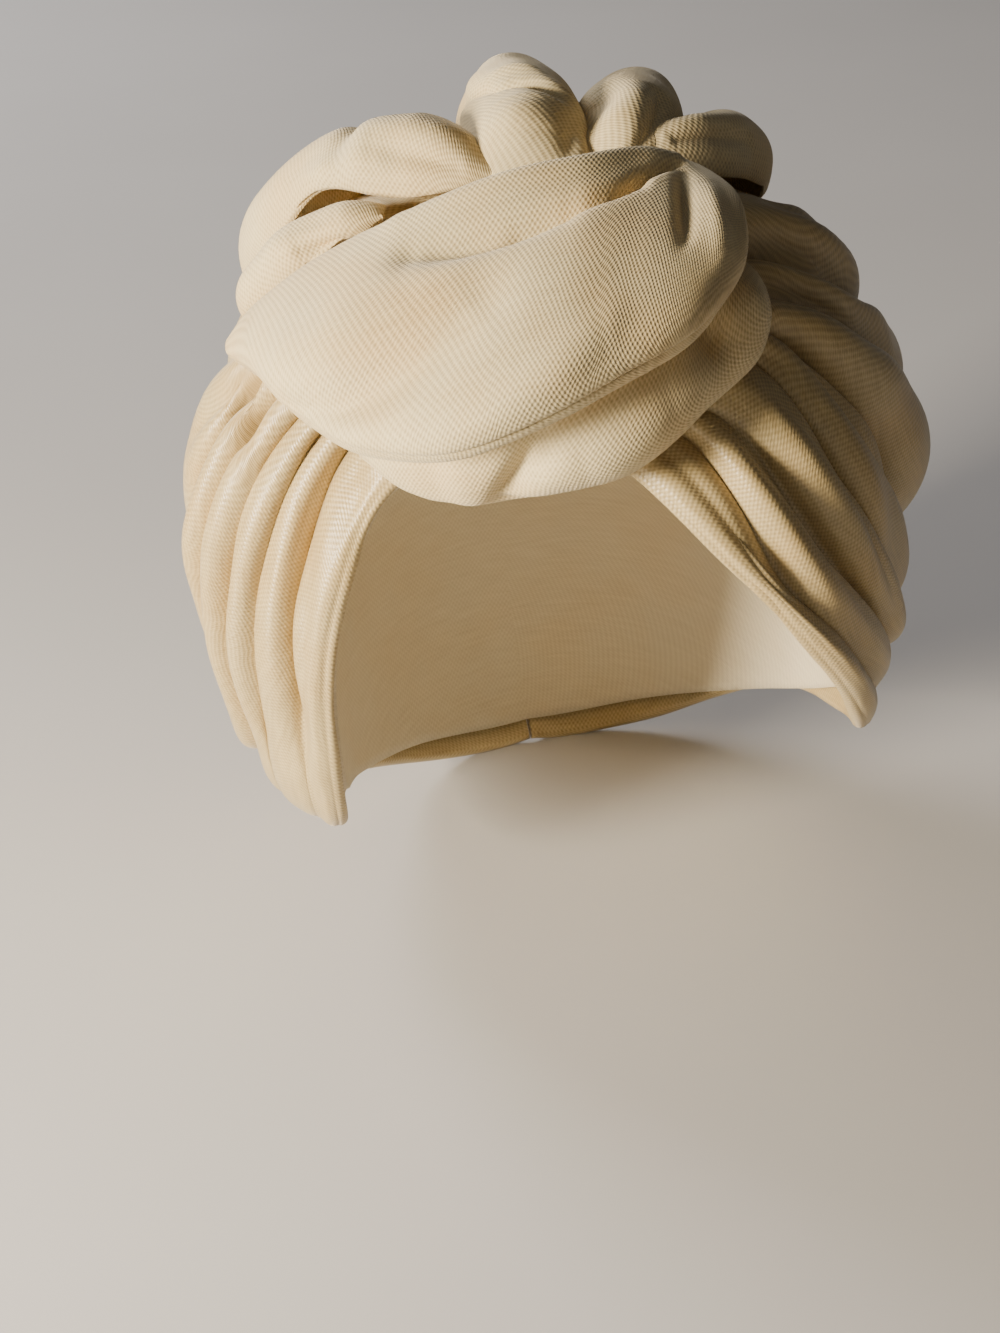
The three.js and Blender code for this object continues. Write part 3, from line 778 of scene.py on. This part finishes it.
# %% Sockets that can be added and multiplied
class Value:
    """A number that varies over a surface: a socket that takes part in sums."""

    def __init__(self, finish, socket):
        self.finish, self.socket = finish, socket

    def sum(self, operation, other, swapped=False):
        pair = (other, self) if swapped else (self, other)
        return self.finish.node("Math", dict(operation=operation), *pair)

    def __add__(self, other):
        return self.sum("ADD", other)

    def __sub__(self, other):
        return self.sum("SUBTRACT", other)

    def __rsub__(self, other):
        return self.sum("SUBTRACT", other, swapped=True)

    def __mul__(self, other):
        return self.sum("MULTIPLY", other)

    __radd__, __rmul__ = __add__, __mul__


class Finish:
    """A material and the one way to add a node to it."""

    def __init__(self, name):
        self.material = bpy.data.materials.new(name)
        self.material.use_nodes = True
        self.tree = self.material.node_tree
        self.shader = self.tree.nodes["Principled BSDF"]

    def node(self, kind, settings=None, *values, out=0, **named):
        made = self.tree.nodes.new("ShaderNode" + kind)
        for key, setting in (settings or {}).items():
            if key == "stops":
                self.set_stops(made.color_ramp, setting)
            else:
                setattr(made, key, setting)
        for key, value in [*enumerate(values), *named.items()]:
            self.feed(made.inputs[key], value)
        return Value(self, made.outputs[out])

    def set_stops(self, ramp, stops):
        while len(ramp.elements) < len(stops):
            ramp.elements.new(0.5)
        for element, (place, colour) in zip(ramp.elements, stops):
            element.position, element.color = place, (*colour, 1)

    def feed(self, socket, value):
        if isinstance(value, Value):
            self.tree.links.new(value.socket, socket)
        else:
            socket.default_value = value

    def set(self, **sockets):
        for name, value in sockets.items():
            self.feed(self.shader.inputs[name.replace("_", " ")], value)


# %% The crepe
THREAD_ROW = 0.00105
THREAD_DOT = 0.00075


def crepe(name, light, shade, warm, roughness, grain=1.0):
    """Cream crepe: light on the raised threads, shade between them, warm in soft patches."""
    finish = Finish(name)
    cloth = finish.node("UVMap", dict(uv_map="cloth"))
    place = finish.node("TexCoord", out="Object")
    wander = finish.node("TexNoise", None, Vector=cloth, Scale=260.0, Detail=1.0)
    split = finish.node("SeparateXYZ", None, cloth)
    across = Value(finish, split.socket.node.outputs[1])
    along = split * (math.pi / THREAD_DOT) + wander * 2.2
    rows = across * (math.pi / THREAD_ROW) + wander * 1.4
    dots = finish.node("Math", dict(operation="COSINE"), along) * finish.node(
        "Math", dict(operation="COSINE"), rows)
    weave = dots * 0.5 + 0.5
    thread = finish.node("TexNoise", None, Vector=finish.node(
        "Mapping", None, Vector=cloth, Scale=(90, 900, 1)), Scale=1.0, Detail=2.0)
    patches = finish.node("TexNoise", None, Vector=place, Scale=26.0, Detail=3.0, Roughness=0.55)
    weight = weave * (0.55 * grain) + thread * 0.45
    body = finish.node("ValToRGB", dict(stops=((0.12, shade), (0.62, light))), weight)
    tint = finish.node("ValToRGB", dict(stops=((0.42, (1, 1, 1)), (0.72, warm))), patches)
    colour = finish.node("Mix", dict(data_type="RGBA", blend_type="MULTIPLY"), out=2)
    mixer = colour.socket.node
    for key, value in ((0, 1.0), (6, body), (7, tint)):
        finish.feed(mixer.inputs[key], value)
    relief = finish.node("Bump", None, Strength=0.55 * grain, Distance=0.00035,
                         Height=weave * 0.8 + thread * 0.5)
    finish.set(Base_Color=colour, Roughness=thread * 0.16 + (roughness - 0.08), Normal=relief,
               Sheen_Weight=0.25, Sheen_Roughness=0.45, Specular_IOR_Level=1.05 - roughness)
    finish.shader.inputs["Sheen Tint"].default_value = (1.0, 0.96, 0.88, 1)
    return finish.material


matte_crepe = crepe("crepe_matte", light=(0.71, 0.585, 0.335), shade=(0.44, 0.335, 0.17),
                    warm=(1.0, 0.90, 0.78), roughness=0.72)
satin_crepe = crepe("crepe_satin", light=(0.60, 0.47, 0.235), shade=(0.33, 0.235, 0.095),
                    warm=(1.0, 0.92, 0.80), roughness=0.40, grain=0.7)
cap_cloth = crepe("cap_cloth", light=(0.74, 0.66, 0.48), shade=(0.58, 0.50, 0.35),
                  warm=(1.0, 0.96, 0.9), roughness=0.8, grain=0.6)
print("finishes:", matte_crepe.name, satin_crepe.name, cap_cloth.name)


# %% The floor's finish
def floor_finish():
    finish = Finish("floor_paint")
    place = finish.node("TexCoord", out="Object")
    cloudy = finish.node("TexNoise", None, Vector=place, Scale=3.0, Detail=4.0)
    finish.set(Base_Color=finish.node("ValToRGB", dict(stops=(
        (0.3, (0.50, 0.485, 0.475)), (0.7, (0.53, 0.515, 0.505)))), cloudy), Roughness=0.9)
    return finish.material


floor.data.materials.append(floor_finish())

# %% [markdown]
# ## Making the pieces
# Each piece gets its uneven surface, its listed creases and a little easing, then it is given to
# the frame: it rides on the head's one body, stands for its own CAD node and gets its finish.

# %% One way to finish a piece
FINEST_GATHERS = 24
GATHERS_REACH = 0.3
TIMES_EASED = 1


def dress(points, unevenness, size, table=(), lines=(), gathers=0):
    """Adds the soft unevenness, the creases and the smaller folds of a sheet along its normals."""
    u, v = grid(points.shape[0] - 1, points.shape[1] - 1)
    push = unevenness * ripples(points, size)
    if len(table):
        push = push + creases(points, u, v, table)
    if gathers:
        fade = np.exp(-((u / GATHERS_REACH) ** 2))
        push = push + gathers * streaks(u, v, FINEST_GATHERS) * fade
    if len(lines):
        push = push + FOLD_LINE_DEPTH * fold_lines(points, lines)
    normal = normals_of(points)
    facing = np.sign(dot(normal, points - HEAD_CENTRE).sum())
    return relax(points + normal * (push * facing)[..., None], TIMES_EASED)


def join_frame(piece, material):
    piece.data.materials.append(material)
    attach(piece, "root")
    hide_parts(piece.name[:-len("_cloth")])


# %% The side wraps
WRAP_ALONG = 216
PLEAT_COLUMNS = 28
RIGHT_ROLL = 7.5
LEFT_ROLL = 3.5
WRAP_UNEVENNESS = 0.45
WRAP_GATHERS = 0.5

right_shape = side_wrap(RIGHT_ROWS, RIGHT_VALLEYS, RIGHT_MERGES, RIGHT_ROLL, -1,
                        WRAP_ALONG, PLEAT_COLUMNS)
right_wrap = cloth_piece("right_side_wrap_cloth", dress(
    right_shape, WRAP_UNEVENNESS, 30, lines=RIGHT_FOLD_LINES, gathers=WRAP_GATHERS))
join_frame(right_wrap, satin_crepe)
left_shape = side_wrap(LEFT_ROWS, LEFT_VALLEYS, LEFT_MERGES, LEFT_ROLL, 1,
                       WRAP_ALONG, PLEAT_COLUMNS)
left_wrap = cloth_piece("left_side_wrap_cloth", dress(
    left_shape, WRAP_UNEVENNESS, 30, lines=LEFT_FOLD_LINES, gathers=WRAP_GATHERS))
join_frame(left_wrap, satin_crepe)

# %% The crown and its folds
CROWN_GRID = (130, 130)
FOLD_GRID = (130, 96)
CROWN_UNEVENNESS = 0.5

crown = cloth_piece("crown_wrap_cloth", dress(crown_sheet(*CROWN_GRID), CROWN_UNEVENNESS, 30))
join_frame(crown, matte_crepe)
for name, fold in CROWN_FOLDS.items():
    shape = crown_fold(fold["rows"], fold["lift"], fold["front"], fold["rim"], *FOLD_GRID)
    piece = cloth_piece(name + "_cloth", dress(shape, CROWN_UNEVENNESS, 22, fold["creases"]))
    join_frame(piece, matte_crepe)

# %% The lobes of the knot
UPPER_GRID = (190, 168)
LOWER_GRID = (150, 124)
LOBE_UNEVENNESS = 0.35

upper = cloth_piece("knot_upper_lobe_cloth", dress(
    lobe(UPPER_LOBE_ROWS, *UPPER_GRID, UPPER_LOBE_TUCK, squareness=2.1),
    LOBE_UNEVENNESS, 30, UPPER_LOBE_CREASES))
join_frame(upper, matte_crepe)
lower = cloth_piece("knot_lower_lobe_cloth", dress(
    lobe(LOWER_LOBE_ROWS, *LOWER_GRID, LOWER_LOBE_TUCK, squareness=2.2),
    LOBE_UNEVENNESS, 24, LOWER_LOBE_CREASES))
join_frame(lower, matte_crepe)

# %% [markdown]
# ## The close cap
# Under everything is a close cap that holds the folds. It shows only inside the face opening and
# from below. A grid is bent to a dome: its columns go round the head and its rows run from the
# crown to the hem, and the doubled corners at the seam and the top are merged.

# %% The cap
#  azimuth, elevation of the hem, all round
CAP_HEM = (
    (-180, -41), (-150, -39), (-120, -35), (-96, -28), (-86, -18), (-80, 0), (-75, 18), (-71, 34),
    (-64, 50), (-45, 55), (-20, 56), (0, 56), (14, 50), (24, 38), (34, 24), (46, 9), (58, -5),
    (80, -19), (120, -34), (150, -39), (180, -41),
)
CAP_MIDDLE = 1.0
CAP_THICKNESS = 1.6
CAP_GRID = (220, 70)
MERGE_WITHIN = 0.00005


def cap_dome(columns, rings):
    u, v = grid(columns, rings)
    edge = unit(SmoothLine([direction(azimuth, elevation) for azimuth, elevation in CAP_HEM])(u))
    top = np.broadcast_to(np.array((0.0, 0.0, 1.0)), edge.shape)
    return off_head(between(top, edge, v), CAP_MIDDLE)


cap = cloth_piece("close_cap_cloth", cap_dome(*CAP_GRID), CAP_THICKNESS)
bpy.ops.object.mode_set(mode="EDIT")
bpy.ops.mesh.select_all(action="SELECT")
bpy.ops.mesh.remove_doubles(threshold=MERGE_WITHIN)
bpy.ops.mesh.normals_make_consistent(inside=False)
bpy.ops.object.mode_set(mode="OBJECT")
join_frame(cap, cap_cloth)
